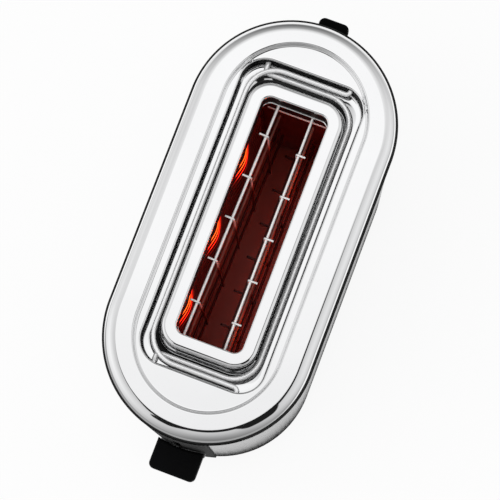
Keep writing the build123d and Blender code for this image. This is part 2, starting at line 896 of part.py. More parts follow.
def make_bun_slide():
    # The yoke plate: one level slot for each crank's pin, and the arm that carries the lever.
    # Against the yoke a pin sinks by yoke_bow halfway through the lift, and comes back.
    room = crank_pin_radius + yoke_bow / 2 + slide_gap
    reach = crank_pin_radius + slide_gap
    low_x = bail_pivot_x - crank_length * cos(radians(crank_high_angle)) - reach
    high_x = bail_pivot_x - crank_length * cos(radians(crank_low_angle)) + reach
    top = left_pin_z - yoke_bow / 2 + room + yoke_edge
    y = (yoke_y, yoke_y + yoke_sheet)
    slide = block(around(0, yoke_half), y, (bun_lever_height - bun_arm_depth, top))
    slide = fillet(slide.edges().filter_by(Axis.Y), yoke_round)
    for side, pin_z in ((1, left_pin_z), (-1, right_pin_z)):
        x = sorted((side * low_x, side * high_x))
        slide -= block(x, (y[0] - over, y[1] + over), around(pin_z - yoke_bow / 2, room))
    arm_y = (y[0], end_y + handle_gap + socket_depth)
    slide += block(around(0, bun_arm_half), arm_y, around(bun_lever_height, bun_arm_depth / 2))
    return slide


def make_bun_guide():
    # A folded channel on the rear frame plate whose lips hold the slide's edges.
    inner = yoke_half + slide_gap
    outer = inner + guide_sheet
    z = (bun_lever_height - guide_reach_down, bun_lever_height + guide_reach_up)
    plate_y = chamber_rear + plate_sheet
    rear_lip = yoke_y + yoke_sheet + slide_gap
    front_lip = yoke_y - slide_gap - guide_sheet
    guide = block((-outer, outer), (plate_y, plate_y + guide_sheet), z)
    for side in (-1, 1):
        wall = sorted((side * inner, side * outer))
        lip = sorted((side * (yoke_half - guide_lip), side * outer))
        guide += block(wall, (plate_y, rear_lip + guide_sheet), z)
        guide += block(lip, (front_lip, front_lip + guide_sheet), z)
        guide += block(lip, (rear_lip, rear_lip + guide_sheet), z)
    return guide


def make_bun_lever():
    z = around(bun_lever_height, bun_lever_thick / 2)
    knob = make_handle(bun_lever_width / 2, (end_y / 2, end_y + bun_lever_reach), z, handle_gap)
    socket_x = around(0, bun_arm_half + socket_gap)
    socket_z = around(bun_lever_height, bun_arm_depth / 2 + socket_gap)
    socket_end = end_y + handle_gap + socket_depth + socket_gap
    return knob - block(socket_x, (end_y, socket_end), socket_z)


def make_crumb_tray():
    # A shallow sheet tray under the chamber.
    x = around(0, tray_half)
    y = (chamber_front + tray_front_gap, end_y - grip_inset)
    tray = block(x, y, (tray_z, tray_z + tray_wall))
    inner_x = around(0, tray_half - tray_sheet)
    inner_y = (y[0] + tray_sheet, y[1] - tray_sheet)
    return tray - block(inner_x, inner_y, (tray_z + tray_sheet, tray_z + tray_wall))


def make_tray_grip():
    # The tray's plastic front, curved as the shell is and hollowed from below for a finger.
    z = (tray_z, tray_z + grip_height)
    grip = stadium(body_length + 2 * grip_proud, body_width + 2 * grip_proud, z)
    grip &= block(around(0, tray_half), (end_y - grip_inset, end_y + grip_proud), z)
    outer_edge = grip.faces().sort_by(Axis.Z)[-1].edges().sort_by(Axis.Y)[-1]
    grip = fillet(outer_edge, edge_round)
    pocket = RectangleRounded(2 * finger_pocket_half, finger_pocket_width, finger_pocket_round)
    place = Pos(0, end_y - finger_pocket_back, tray_z)
    return grip - extrude(place * pocket, grip_height - finger_pocket_roof)


def make_cord_gland():
    # A flanged bush with a tapered, grooved bend sleeve for the mains lead, its bore left open.
    # The sleeve reaches as far as the carriage lever does at the other end.
    inner = inner_end_y - gland_tail
    flange_y = end_y + slide_gap
    outer = flange_y + gland_flange_thick
    tip = end_y + lever_reach
    gland = bar_y(0, gland_height, gland_radius, (inner, outer))
    gland += bar_y(0, gland_height, gland_radius + gland_flange, (flange_y, outer))
    gland = fillet(gland.faces().sort_by(Axis.Y)[-1].edges(), gland_round)
    sleeve = Cone(gland_radius, sleeve_tip_radius, tip - outer)
    gland += Pos(0, (outer + tip) / 2, gland_height) * Rot(-90, 0, 0) * sleeve
    for number in range(sleeve_grooves):
        groove = around((outer + tip) / 2 + (number - (sleeve_grooves - 1) / 2) * sleeve_pitch, sleeve_groove / 2)
        cutter = bar_y(0, gland_height, gland_radius + over, groove)
        gland -= cutter - bar_y(0, gland_height, sleeve_core, groove)
    return gland - bar_y(0, gland_height, gland_bore, (inner - over, tip + over))


def make_gland_nut():
    corner = gland_radius + gland_flange
    high = end_bulge(body_width - 2 * shell_sheet, corner) - panel_gap
    nut = Pos(0, high, gland_height) * Rot(90, 0, 0) * extrude(RegularPolygon(corner, 6), nut_thick)
    bore = (high - nut_thick - over, high + over)
    return nut - bar_y(0, gland_height, gland_radius + running_gap, bore)


def make_terminal_block():
    # A ceramic block on the rear frame plate where the lead's wires are clamped.
    y = (chamber_rear + plate_sheet, chamber_rear + plate_sheet + terminal_depth)
    z = (gland_height + terminal_rise, gland_height + terminal_rise + terminal_height)
    terminal = block(around(0, terminal_half), y, z)
    for number in range(terminal_ways):
        x = (number - (terminal_ways - 1) / 2) * terminal_pitch
        terminal -= bar_z(x, y[1] - clamp_inset, clamp_radius, (z[1] - clamp_depth, z[1] + over))
        terminal -= bar_y(x, z[0] + clamp_inset, entry_radius, (y[0] + entry_end, y[1] + over))
    return terminal


makers = {
    "top_cover": make_top_cover,
    "slot_collar": make_slot_collar,
    "body_shell": make_body_shell,
    "control_panel": make_control_panel,
    "base_plate": make_base_plate,
    "base_screws": make_base_screws,
    "feet": make_feet,
    "front_frame_plate": make_front_frame_plate,
    "rear_frame_plate": make_rear_frame_plate,
    "left_reflector": lambda: make_reflector(-1),
    "right_reflector": lambda: make_reflector(1),
    "left_heater_board": lambda: make_heater_board(-1),
    "right_heater_board": lambda: make_heater_board(1),
    "left_heater_ribbon": lambda: make_heater_ribbon(-1),
    "right_heater_ribbon": lambda: make_heater_ribbon(1),
    "left_guard": lambda: make_guard(-1),
    "right_guard": lambda: make_guard(1),
    "bread_rack": make_bread_rack,
    "carriage_bracket": make_carriage_bracket,
    "lever_knob": make_lever_knob,
    "armature": make_armature,
    "guide_rod": make_guide_rod,
    "carriage_spring": make_carriage_spring,
    "electromagnet": make_electromagnet,
    "circuit_board": make_circuit_board,
    "button_switches": make_button_switches,
    "cancel_button": lambda: make_button(-button_pitch),
    "defrost_button": lambda: make_button(0),
    "reheat_button": lambda: make_button(button_pitch),
    "browning_control": make_browning_control,
    "knob_shaft": make_knob_shaft,
    "browning_knob": make_browning_knob,
    "left_bail": lambda: make_bail(-1),
    "right_bail": lambda: make_bail(1),
    "left_bail_cap": lambda: make_bail_cap(-1),
    "right_bail_cap": lambda: make_bail_cap(1),
    "left_bail_crank": lambda: make_bail_crank(-1),
    "right_bail_crank": lambda: make_bail_crank(1),
    "bun_slide": make_bun_slide,
    "bun_guide": make_bun_guide,
    "bun_lever": make_bun_lever,
    "crumb_tray": make_crumb_tray,
    "tray_grip": make_tray_grip,
    "cord_gland": make_cord_gland,
    "gland_nut": make_gland_nut,
    "terminal_block": make_terminal_block,
}

os.makedirs("parts", exist_ok=True)
for name, make in makers.items():
    export_step(make(), f"parts/{name}.step")

print("bun rack: lift", round(crank_lift, 3), "pin wander in its slot", round(yoke_bow / 2, 3))
print("bun rack ratio, radians per metre:", round(radians(bail_angle) / crank_lift * 1000, 3))
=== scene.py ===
import json
import math
import bmesh
import bpy
from mathutils import Matrix, Vector


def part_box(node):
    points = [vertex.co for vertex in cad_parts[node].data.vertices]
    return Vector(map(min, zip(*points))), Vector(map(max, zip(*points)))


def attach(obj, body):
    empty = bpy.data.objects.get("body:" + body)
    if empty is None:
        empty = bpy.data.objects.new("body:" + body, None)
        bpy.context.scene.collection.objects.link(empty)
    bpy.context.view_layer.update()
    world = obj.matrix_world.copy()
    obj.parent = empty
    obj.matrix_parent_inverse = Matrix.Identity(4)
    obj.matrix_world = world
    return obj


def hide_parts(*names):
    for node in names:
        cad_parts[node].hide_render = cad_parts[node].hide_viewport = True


# Looks of the one-slot toaster. New meshes are drawn in millimetres and made metres at the end;
# shader patterns, the floor and the camera are in metres.

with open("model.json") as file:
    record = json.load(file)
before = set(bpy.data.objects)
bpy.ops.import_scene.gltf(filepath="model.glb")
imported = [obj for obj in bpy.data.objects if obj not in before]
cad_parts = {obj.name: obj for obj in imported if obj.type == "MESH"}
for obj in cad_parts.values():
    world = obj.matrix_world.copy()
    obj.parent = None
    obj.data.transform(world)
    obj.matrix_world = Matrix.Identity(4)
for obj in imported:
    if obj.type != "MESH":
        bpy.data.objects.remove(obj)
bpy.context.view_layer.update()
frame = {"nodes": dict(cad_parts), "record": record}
millimetre = 0.001
nodeSlot = {row["node"]: row["material_slot"] for row in frame["record"]["subparts"]}
print("frame loaded:", len(nodeSlot), "nodes")


def boxOf(node):
    # Low and high corner of a CAD node in millimetres.
    low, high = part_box(node)
    return low / millimetre, high / millimetre


# Shader nodes written as plain arithmetic

class Wire:
    # One output socket; an operator between wires or numbers adds its Math node.
    def __init__(self, tree, socket):
        self.tree = tree
        self.socket = socket

    def maths(self, operation, first, second):
        return self.tree.add("ShaderNodeMath", {"operation": operation}, {0: first, 1: second})

    def __add__(self, other):
        return self.maths("ADD", self, other)

    def __radd__(self, other):
        return self.maths("ADD", other, self)

    def __sub__(self, other):
        return self.maths("SUBTRACT", self, other)

    def __rsub__(self, other):
        return self.maths("SUBTRACT", other, self)

    def __neg__(self):
        return self.maths("SUBTRACT", 0.0, self)

    def __mul__(self, other):
        return self.maths("MULTIPLY", self, other)

    def __rmul__(self, other):
        return self.maths("MULTIPLY", other, self)

    def __truediv__(self, other):
        return self.maths("DIVIDE", self, other)

    def __rtruediv__(self, other):
        return self.maths("DIVIDE", other, self)

    def __pow__(self, other):
        return self.maths("POWER", self, other)

    def __rpow__(self, other):
        return self.maths("POWER", other, self)

    def __gt__(self, other):
        return self.maths("GREATER_THAN", self, other)

    def __lt__(self, other):
        return self.maths("LESS_THAN", self, other)


class NodeTree:
    # A material's or a world's nodes, added one at a time.
    def __init__(self, owner):
        owner.use_nodes = True
        self.nodes = owner.node_tree.nodes
        self.links = owner.node_tree.links
        self.nodes.clear()

    def add(self, kind, settings=None, inputs=None, output=0):
        node = self.nodes.new(kind)
        for key, value in (settings or {}).items():
            if key == "stops":
                self.setStops(node.color_ramp, value)
            else:
                setattr(node, key, value)
        for key, value in (inputs or {}).items():
            if isinstance(value, Wire):
                self.links.new(value.socket, node.inputs[key])
            else:
                node.inputs[key].default_value = value
        return Wire(self, node.outputs[output]) if node.outputs else node

    def setStops(self, ramp, stops):
        while len(ramp.elements) < len(stops):
            ramp.elements.new(1.0)
        for element, (place, colour) in zip(ramp.elements, stops):
            element.position = place
            element.color = (*colour, 1.0)

    def axes(self):
        # The point in the piece's own space in metres, and its X, Y and Z.
        place = self.add("ShaderNodeTexCoord", output="Object")
        split = [self.add("ShaderNodeSeparateXYZ", {}, {0: place}, axis) for axis in range(3)]
        return place, split

    def least(self, first, second):
        return self.add("ShaderNodeMath", {"operation": "MINIMUM"}, {0: first, 1: second})

    def most(self, first, second):
        return self.add("ShaderNodeMath", {"operation": "MAXIMUM"}, {0: first, 1: second})

    def size(self, value):
        return self.add("ShaderNodeMath", {"operation": "ABSOLUTE"}, {0: value})

    def between(self, value, low, high):
        # 0 below low, 1 above high and smooth between.
        return self.add("ShaderNodeMapRange", {"interpolation_type": "SMOOTHSTEP"}, {
            "Value": value, "From Min": low, "From Max": high})

    def noise(self, place, scale, detail=3.0, roughness=0.5, stretch=(1.0, 1.0, 1.0)):
        mapped = self.add("ShaderNodeMapping", {}, {"Vector": place, "Scale": stretch})
        return self.add("ShaderNodeTexNoise", {}, {
            "Vector": mapped, "Scale": scale, "Detail": detail, "Roughness": roughness})

    def cells(self, place, scale):
        # Distance from the middle of each cell of an uneven mosaic.
        return self.add("ShaderNodeTexVoronoi", {}, {"Vector": place, "Scale": scale}, "Distance")

    def ramp(self, factor, stops):
        return self.add("ShaderNodeValToRGB", {"stops": stops}, {0: factor})

    def mixColour(self, factor, first, second):
        return self.add("ShaderNodeMix", {"data_type": "RGBA"}, {0: factor, 6: first, 7: second}, 2)

    def bump(self, height, strength, distance):
        return self.add("ShaderNodeBump", {}, {
            "Strength": strength, "Distance": distance, "Height": height})

    def surface(self, inputs):
        shader = self.add("ShaderNodeBsdfPrincipled", {}, inputs)
        self.add("ShaderNodeOutputMaterial", {}, {"Surface": shader})


def grey(level):
    return (level, level, level, 1.0)


def newMaterial(name):
    material = bpy.data.materials.new(name)
    return material, NodeTree(material)


# Finishes. In each one's values a scale is the fineness of a pattern, a gloss how far the pattern
# roughens the surface, and a bump its strength with its height in metres.

polish = {"cloudScale": 22.0, "hairScale": 900.0, "hairStretch": (1.0, 0.06, 1.0), "hairShare": 0.5,
          "dimmed": 0.965, "rippleScale": 40.0, "bump": (0.02, 0.00001)}


def polishedSheet(name, colour, roughness, smudge, metallic=1.0):
    # Bright plated sheet: faint wiping marks in the gloss, and a very shallow ripple.
    material, tree = newMaterial(name)
    place, _ = tree.axes()
    cloud = tree.noise(place, polish["cloudScale"], detail=4.0)
    hair = tree.noise(place, polish["hairScale"], detail=2.0, stretch=polish["hairStretch"])
    gloss = cloud * smudge + hair * smudge * polish["hairShare"] + roughness
    tone = tree.ramp(cloud, [(0.3, [share * polish["dimmed"] for share in colour]), (0.7, colour)])
    ripple = tree.noise(place, polish["rippleScale"], detail=1.0)
    tree.surface({
        "Base Color": tone, "Metallic": metallic, "Roughness": gloss,
        "Normal": tree.bump(ripple, *polish["bump"])})
    return material


shell = {"streakScale": 420.0, "streakStretch": (1.0, 1.0, 0.03), "cloudScale": 18.0,
         "tones": [(0.3, (0.47, 0.472, 0.475)), (0.7, (0.55, 0.552, 0.556))],
         "roughness": 0.07, "streakGloss": 0.08, "cloudGloss": 0.06, "bump": (0.03, 0.00001)}


def shellSheet():
    # Body shell: plated like the top, with the faint upright lines that rolled sheet keeps.
    material, tree = newMaterial("shellSheet")
    place, _ = tree.axes()
    streak = tree.noise(place, shell["streakScale"], roughness=0.6, stretch=shell["streakStretch"])
    cloud = tree.noise(place, shell["cloudScale"])
    gloss = streak * shell["streakGloss"] + cloud * shell["cloudGloss"] + shell["roughness"]
    tree.surface({
        "Base Color": tree.ramp(streak, shell["tones"]), "Metallic": 1.0, "Roughness": gloss,
        "Normal": tree.bump(streak, *shell["bump"])})
    return material


plastic = {"sparkScale": 1500.0, "wearScale": 45.0, "worn": 1.6, "wearGloss": 0.12, "grainHeight": 0.00005}


def mouldedPlastic(name, colour, roughness, grain, specular):
    # Black moulded plastic with a fine spark texture and slight handling shine.
    material, tree = newMaterial(name)
    place, _ = tree.axes()
    spark = tree.noise(place, plastic["sparkScale"], detail=2.0, roughness=0.6)
    wear = tree.noise(place, plastic["wearScale"])
    tone = tree.ramp(wear, [(0.35, colour), (0.75, [share * plastic["worn"] for share in colour])])
    tree.surface({
        "Base Color": tone, "Roughness": wear * plastic["wearGloss"] + roughness,
        "Specular IOR Level": specular, "Normal": tree.bump(spark, grain, plastic["grainHeight"])})
    return material


plated = {"spangleScale": 240.0, "cloudScale": 70.0, "metallic": 0.9, "cloudGloss": 0.2,
          "bump": (0.12, 0.0001)}


def platedSteel(name, dark, light, roughness):
    # Plated or varnished pressings, with the spangle of zinc.
    material, tree = newMaterial(name)
    place, _ = tree.axes()
    spangle = tree.cells(place, plated["spangleScale"])
    cloud = tree.noise(place, plated["cloudScale"], detail=4.0)
    tone = tree.ramp(spangle * 0.5 + cloud * 0.5, [(0.25, dark), (0.6, light)])
    tree.surface({
        "Base Color": tone, "Metallic": plated["metallic"],
        "Roughness": cloud * plated["cloudGloss"] + roughness, "Normal": tree.bump(cloud, *plated["bump"])})
    return material


nickel = {"cloudScale": 120.0, "tintBelow": 0.155, "tintRate": 36.0, "uneven": 0.3,
          "tones": [(0.25, (0.99, 0.98, 0.97)), (0.6, (0.42, 0.17, 0.13)), (1.0, (0.045, 0.006, 0.004))],
          "metallic": 0.3, "roughness": 0.34, "cloudGloss": 0.12, "bump": (0.05, 0.00005)}


def guardWire():
    # Bright nickel wire near the top; lower down its colour is painted red-brown and then near black, for the
    # red glow of the elements and the shade deep in the slot.
    material, tree = newMaterial("guardWire")
    place, (_, _, z) = tree.axes()
    cloud = tree.noise(place, nickel["cloudScale"])
    # Painted glow and shade: the wire darkens with depth below the top.
    glowTint = (nickel["tintBelow"] - z) * nickel["tintRate"] + cloud * nickel["uneven"]
    tree.surface({
        "Base Color": tree.ramp(glowTint, nickel["tones"]), "Metallic": nickel["metallic"],
        "Roughness": cloud * nickel["cloudGloss"] + nickel["roughness"],
        "Normal": tree.bump(cloud, *nickel["bump"])})
    return material


mica = {"flakeScale": 420.0, "cloudScale": 60.0, "flakeShare": 0.4,
        "tones": [(0.25, (0.016, 0.003, 0.003)), (0.5, (0.05, 0.008, 0.006)), (0.8, (0.12, 0.022, 0.016))],
        "roughness": 0.35, "flakeGloss": 0.4, "specular": 0.4, "bump": (0.2, 0.0001)}


def micaBoard():
    # Pressed mica: glittering flakes over a dull ground, painted dark red-brown for the red glow and the
    # shade inside the slot.
    material, tree = newMaterial("mica")
    place, _ = tree.axes()
    flake = tree.cells(place, mica["flakeScale"])
    cloud = tree.noise(place, mica["cloudScale"], detail=4.0)
    tone = tree.ramp(flake * mica["flakeShare"] + cloud * (1.0 - mica["flakeShare"]), mica["tones"])
    tree.surface({
        "Base Color": tone, "Roughness": flake * mica["flakeGloss"] + mica["roughness"],
        "Specular IOR Level": mica["specular"], "Normal": tree.bump(flake, *mica["bump"])})
    return material


# The ribbon glows where it bows off its board, and only in the runs near the top.
glow = {"bayLength": 0.045, "bayCentre": -0.0035, "fullBay": 0.95, "flickerScale": 90.0, "flicker": 0.5,
        "steady": 0.75, "cold": (0.035, 0.010, 0.008, 1.0), "roughness": 0.4, "flickerGloss": 0.2,
        "tones": [(0.0, (0.012, 0.0006, 0.0004)), (0.2, (0.16, 0.003, 0.001)), (0.5, (0.8, 0.010, 0.003)),
                  (0.8, (1.0, 0.030, 0.004)), (1.0, (1.0, 0.11, 0.010))]}
glowLeft = {"dullBelow": 0.106, "brightAbove": 0.142, "gap": 0.30, "strength": 2.3}
glowRight = {"dullBelow": 0.050, "brightAbove": 0.120, "gap": 0.05, "strength": 10.0}


def glowingRibbon(name, side):
    material, tree = newMaterial(name)
    place, (_, y, z) = tree.axes()
    phase = (y - glow["bayCentre"]) * (2.0 * math.pi / glow["bayLength"])
    bay = tree.add("ShaderNodeMath", {"operation": "COSINE"}, {0: phase}) * 0.5 + 0.5
    crest = tree.between(bay, side["gap"], glow["fullBay"])
    rise = tree.between(z, side["dullBelow"], side["brightAbove"])
    flicker = tree.noise(place, glow["flickerScale"], detail=2.0)
    glowTint = crest * rise * (flicker * glow["flicker"] + glow["steady"])
    tree.surface({
        "Base Color": glow["cold"], "Roughness": flicker * glow["flickerGloss"] + glow["roughness"],
        "Emission Color": tree.ramp(glowTint, glow["tones"]), "Emission Strength": side["strength"]})
    return material


tray = {"cloudScale": 38.0, "crumbScale": 420.0, "underSide": (0.021, 0.029), "underEnd": (0.070, 0.100),
        "uneven": 0.5, "even": 0.75,
        "tones": [(0.0, (0.50, 0.49, 0.48)), (0.4, (0.30, 0.10, 0.07)), (0.9, (0.30, 0.055, 0.038))],
        "metallic": 0.8, "metallicLost": 0.4, "roughness": 0.22, "cloudGloss": 0.2, "crumbGloss": 0.15,
        "bump": (0.1, 0.0001)}


def traySheet():
    # Crumb tray: plated, with a painted red glow where the slot stands over it.
    material, tree = newMaterial("traySheet")
    place, (x, y, _) = tree.axes()
    cloud = tree.noise(place, tray["cloudScale"], detail=4.0)
    crumb = tree.noise(place, tray["crumbScale"], roughness=0.7)
    across = 1.0 - tree.between(tree.size(x), *tray["underSide"])
    under = across * (1.0 - tree.between(tree.size(y), *tray["underEnd"]))
    # Painted red glow of the elements above, under the slot only.
    glowTint = under * (cloud * tray["uneven"] + tray["even"])
    gloss = cloud * tray["cloudGloss"] + crumb * tray["crumbGloss"] + tray["roughness"]
    tree.surface({
        "Base Color": tree.ramp(glowTint, tray["tones"]), "Roughness": gloss,
        "Metallic": tray["metallic"] - under * tray["metallicLost"],
        "Normal": tree.bump(crumb, *tray["bump"])})
    return material


# The pressed rib of a frame plate stands out from it; its crest carries a painted highlight for the daylight
# it would catch.
chamber = {"middle": 0.0025, "ribCrest": 0.0737, "ribLow": 0.136, "ribHigh": 0.146,
           "ribHighlight": (1.0, 0.72, 0.68, 1.0), "cloudScale": 55.0, "bloomScale": 16.0, "metallic": 0.6,
           "cloudGloss": 0.2, "bump": (0.12, 0.0001)}


def chamberSheet(name, dark, light, roughness):
    # Zinc plate painted maroon, near black in its darker tones, for the red glow of the elements and the
    # shade inside the slot, with a painted highlight on the crest of a plate's rib.
    material, tree = newMaterial(name)
    place, (_, y, z) = tree.axes()
    cloud = tree.noise(place, chamber["cloudScale"], detail=4.0)
    bloom = tree.noise(place, chamber["bloomScale"], detail=2.0)
    tone = tree.ramp(cloud * 0.5 + bloom * 0.5, [(0.35, dark), (0.62, light)])
    onRib = (z > chamber["ribLow"]) * (z < chamber["ribHigh"])
    # The rib's crest, where the painted highlight goes.
    crest = (tree.size(y - chamber["middle"]) < chamber["ribCrest"]) * onRib
    tree.surface({
        "Base Color": tree.mixColour(crest, tone, chamber["ribHighlight"]),
        "Metallic": chamber["metallic"] - crest * chamber["metallic"],
        "Roughness": cloud * chamber["cloudGloss"] + roughness,
        "Normal": tree.bump(cloud, *chamber["bump"])})
    return material


resin = {"weaveScale": 700.0, "weaveStretch": (1.0, 1.0, 6.0),
         "tones": [(0.3, (0.30, 0.20, 0.07)), (0.7, (0.46, 0.33, 0.13))],
         "roughness": 0.4, "weaveGloss": 0.2, "bump": (0.1, 0.00005)}


def circuitResin():
    # Pressed paper board, with the grain of its layers.
    material, tree = newMaterial("circuitResin")
    place, _ = tree.axes()
    weave = tree.noise(place, resin["weaveScale"], detail=2.0, stretch=resin["weaveStretch"])
    tree.surface({
        "Base Color": tree.ramp(weave, resin["tones"]), "Normal": tree.bump(weave, *resin["bump"]),
        "Roughness": weave * resin["weaveGloss"] + resin["roughness"]})
    return material


ceramic = {"cloudScale": 120.0, "tones": [(0.3, (0.74, 0.72, 0.66)), (0.7, (0.86, 0.84, 0.79))],
           "roughness": 0.25, "cloudGloss": 0.15, "bump": (0.05, 0.0001)}


def glazedCeramic():
    material, tree = newMaterial("ceramicWhite")
    place, _ = tree.axes()
    cloud = tree.noise(place, ceramic["cloudScale"])
    tree.surface({
        "Base Color": tree.ramp(cloud, ceramic["tones"]), "Normal": tree.bump(cloud, *ceramic["bump"]),
        "Roughness": cloud * ceramic["cloudGloss"] + ceramic["roughness"]})
    return material


finishes = {
    "chrome": polishedSheet("polishedChrome", (0.95, 0.952, 0.955), roughness=0.02, smudge=0.02),
    "shell_steel": shellSheet(),
    "black_plastic": mouldedPlastic(
        "blackPlastic", (0.0022, 0.0022, 0.0024), roughness=0.52, grain=0.10, specular=0.06),
    "button_plastic": mouldedPlastic(
        "buttonPlastic", (0.028, 0.028, 0.03), roughness=0.16, grain=0.03, specular=0.4),
    "foot_rubber": mouldedPlastic("footRubber", (0.02, 0.02, 0.02), roughness=0.62, grain=0.25, specular=0.2),
    "bright_wire": guardWire(),
    "plated_steel": platedSteel("platedSteel", (0.42, 0.42, 0.40), (0.62, 0.62, 0.60), roughness=0.22),
    # Reflectors painted maroon for the red glow and the shade inside the slot.
    "reflector_sheet": chamberSheet(
        "reflectorSheet", (0.16, 0.018, 0.013), (0.60, 0.075, 0.045), roughness=0.22),
    "tray_sheet": traySheet(),
    "mica": micaBoard(),
    "glowing_ribbon": glowingRibbon("glowingRibbon", glowLeft),
    "circuit_resin": circuitResin(),
    "magnet": platedSteel("magnetVarnish", (0.06, 0.04, 0.035), (0.16, 0.11, 0.09), roughness=0.35),
    "ceramic_white": glazedCeramic(),
}
# The frame plates take the same painted red glow and shade, darker still.
framePlate = chamberSheet("framePlate", (0.055, 0.006, 0.006), (0.16, 0.016, 0.012), roughness=0.3)
# Near-black finish for painted shade on the walls of the well and the collar, standing in for their shadow
# and dark reflection.
paintedShadeWall = mouldedPlastic("paintedShadeWall", (0.006, 0.006, 0.0062), roughness=0.4, grain=0.02, specular=0.03)
bailWire = polishedSheet("bailWire", (0.97, 0.97, 0.975), roughness=0.08, smudge=0.03, metallic=0.45)
farRibbon = glowingRibbon("farRibbon", glowRight)
blackedSteel = platedSteel("blackedSteel", (0.01, 0.01, 0.01), (0.03, 0.028, 0.026), roughness=0.4)
ownFinish = {"front_frame_plate": framePlate, "rear_frame_plate": framePlate,
             "carriage_bracket": blackedSteel, "right_heater_ribbon": farRibbon}
print("finishes made:", len(finishes))


# Meshes: sheets from rings, one inside the other, and wires bent at their corners

sharpAngle = 35.0  # degrees, past which an edge stays hard


def finishPiece(bm, name, body, slot, replaced, material=None):
    # A bmesh becomes a piece: in metres, shaded smooth but for its sharp edges, on its body.
    bmesh.ops.scale(bm, vec=(millimetre,) * 3, verts=bm.verts)
    for face in bm.faces:
        face.smooth = True
    mesh = bpy.data.meshes.new(name)
    bm.to_mesh(mesh)
    bm.free()
    mesh.set_sharp_from_angle(angle=math.radians(sharpAngle))
    mesh.materials.append(material or finishes[slot])
    piece = bpy.data.objects.new(name, mesh)
    bpy.context.scene.collection.objects.link(piece)
    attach(piece, body)
    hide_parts(replaced)
    return piece


def addRing(bm, form, inset, z):
    # One closed loop of edges: a rounded rectangle drawn in by inset, at height z.
    count = 4 * form["steps"]
    half = math.pi / count
    corner = form["corner"] - inset
    made = bmesh.ops.create_circle(bm, cap_ends=False, segments=count, radius=corner / math.cos(half))
    bmesh.ops.rotate(bm, verts=made["verts"], matrix=Matrix.Rotation(half, 3, "Z"))
    for vert in made["verts"]:
        vert.co.x += math.copysign(form["halfWidth"] - form["corner"], vert.co.x)
        vert.co.y += math.copysign(form["halfLength"] - form["corner"], vert.co.y) + form["y"]
        vert.co.z = z
    return list({edge for vert in made["verts"] for edge in vert.link_edges})


def roundOver(form, inset, z, radius, start, end, steps):
    # Stations round an arc; inset and z are its centre, angle 0 points outwards and 90 up.
    stations = []
    for number in range(steps + 1):
        angle = math.radians(start + (end - start) * number / steps)
        stations.append((form, inset - radius * math.cos(angle), z + radius * math.sin(angle)))
    return stations


def turnedDown(form, z, radius):
    # The rounded edge where a level face at z turns down into a wall on the form's outline.
    return roundOver(form, -radius, z - radius, radius, 90, 180, 6)


def turnedIn(form, z, radius):
    # The hollow edge where a wall on the form's outline turns inwards onto a level face at z.
    return roundOver(form, radius, z + radius, radius, 0, -90, 6)


sameRing = 0.01  # two rings nearer than this are one


def ringSheet(stations):
    # Rings in order, each joined to the one before.
    bm = bmesh.new()
    before = last = None
    for form, inset, z in stations:
        place = (form["halfWidth"] - inset, form["halfLength"] - inset, z)
        if last and max(abs(a - b) for a, b in zip(place, last)) < sameRing:
            continue
        edges = addRing(bm, form, inset, z)
        if before:
            bmesh.ops.bridge_loops(bm, edges=before + edges)
        before, last = edges, place
    bmesh.ops.recalc_face_normals(bm, faces=bm.faces)
    return bm


# A wire's curve: how far handles reach along a straight, and the share that makes an arc of a
# corner, with the steps round the wire and along each stretch.
bend = {"straight": 0.3, "arc": 4 / 3, "roundSteps": 5, "alongSteps": 10, "merge": 0.001}


def cornerStops(points, radii):
    # The ends of each straight stretch with their handles; each corner is a tangent arc.
    straight = bend["straight"]
    stops = [(points[0], points[0], points[0].lerp(points[1], straight))]
    for before, corner, after, radius in zip(points, points[1:], points[2:], radii):
        back, ahead = (before - corner).normalized(), (after - corner).normalized()
        half = (math.pi - back.angle(ahead)) / 2
        reach = radius * math.tan(half)
        handle = reach - radius * math.tan(half / 2) * bend["arc"]
        beyond = reach * (1.0 + straight)
        stops.append((corner + back * reach, corner + back * beyond, corner + back * handle))
        stops.append((corner + ahead * reach, corner + ahead * handle, corner + ahead * beyond))
    return stops + [(points[-1], points[-1].lerp(points[-2], straight), points[-1])]


def addWire(bm, points, radii, thickness, place=Matrix.Identity(4)):
    # A round wire through the points, bent to the radii at its corners, added to the mesh.
    curve = bpy.data.curves.new("wirePath", "CURVE")
    curve.dimensions = "3D"
    curve.bevel_depth = thickness / 2
    curve.bevel_resolution = bend["roundSteps"]
    curve.resolution_u = bend["alongSteps"]
    curve.use_fill_caps = True
    stops = cornerStops([place @ Vector(point) for point in points], radii)
    spline = curve.splines.new("BEZIER")
    spline.bezier_points.add(len(stops) - 1)
    for stop, (middle, left, right) in zip(spline.bezier_points, stops):
        stop.handle_left_type = stop.handle_right_type = "FREE"
        stop.co, stop.handle_left, stop.handle_right = middle, left, right
    holder = bpy.data.objects.new("wirePath", curve)
    mesh = bpy.data.meshes.new_from_object(holder)
    bm.from_mesh(mesh)
    bpy.data.objects.remove(holder)
    bpy.data.curves.remove(curve)
    bpy.data.meshes.remove(mesh)
    bmesh.ops.remove_doubles(bm, verts=bm.verts, dist=bend["merge"])
    bmesh.ops.recalc_face_normals(bm, faces=bm.faces)


def thicken(piece, thickness):
    # The sheet's drawn face is its outer one; the wall grows inwards.
    wall = piece.modifiers.new("sheet", "SOLIDIFY")
    wall.thickness = thickness * millimetre
    wall.offset = -1.0


uprightBelow = 0.3  # a face whose normal rises less than this is a wall


def paintShadeOnWalls(piece, form):
    # Walls between two heights, within reach of the slot's middle line, get painted shade: a near-black
    # finish that stands in for their shadow and dark reflection.
    piece.data.materials.append(paintedShadeWall)
    low, high, reach = (form[key] * millimetre for key in ("paintedShadeFrom", "paintedShadeTo", "paintedShadeReach"))
    for face in piece.data.polygons:
        upright = abs(face.normal.z) < uprightBelow and abs(face.center.x) < reach
        if upright and low < face.center.z < high:
            face.material_index = 1


